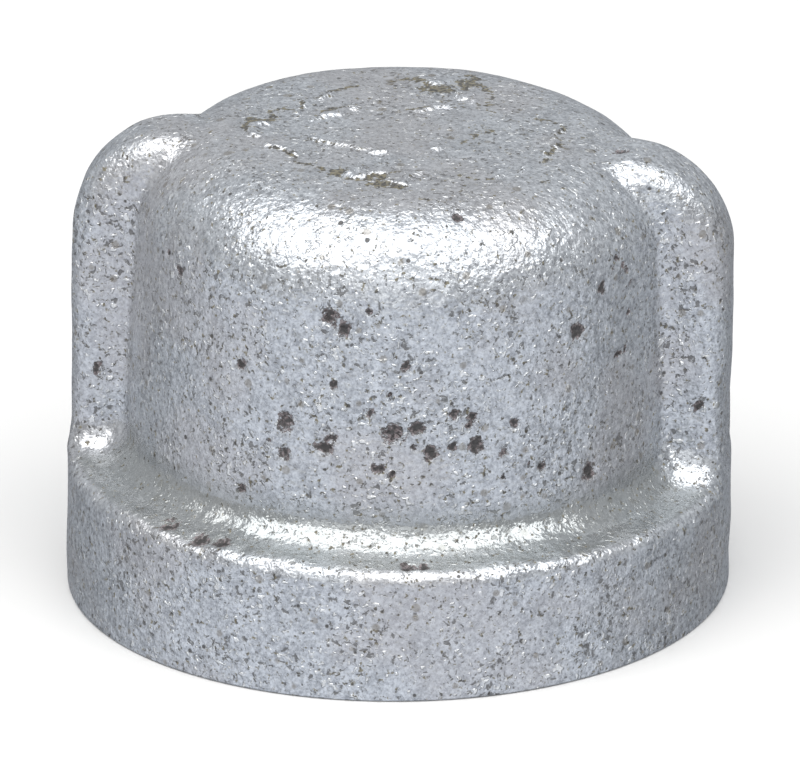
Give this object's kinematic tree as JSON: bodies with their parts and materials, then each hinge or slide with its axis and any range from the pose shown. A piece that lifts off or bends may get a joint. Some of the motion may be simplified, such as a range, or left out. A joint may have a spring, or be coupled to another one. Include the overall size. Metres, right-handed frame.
{
  "type": "pipe cap",
  "caption": "Short round cup with a thick band at its mouth, a rounded crown and two side ribs; the inside is threaded to close the end of a pipe.",
  "frame": {"origin": "centre of the mouth's face, on the thread's axis", "axes": "+Z along the axis from the mouth to the crown; +X and -X through the two ribs"},
  "size_m": [0.0308, 0.0308, 0.0221],
  "materials": {
    "galvanised_iron": "hot-dip galvanised, matt to satin, finely grained"
  },
  "bodies": {
    "root": {"cap_casting": "galvanised_iron"}
  },
  "joints": []
}
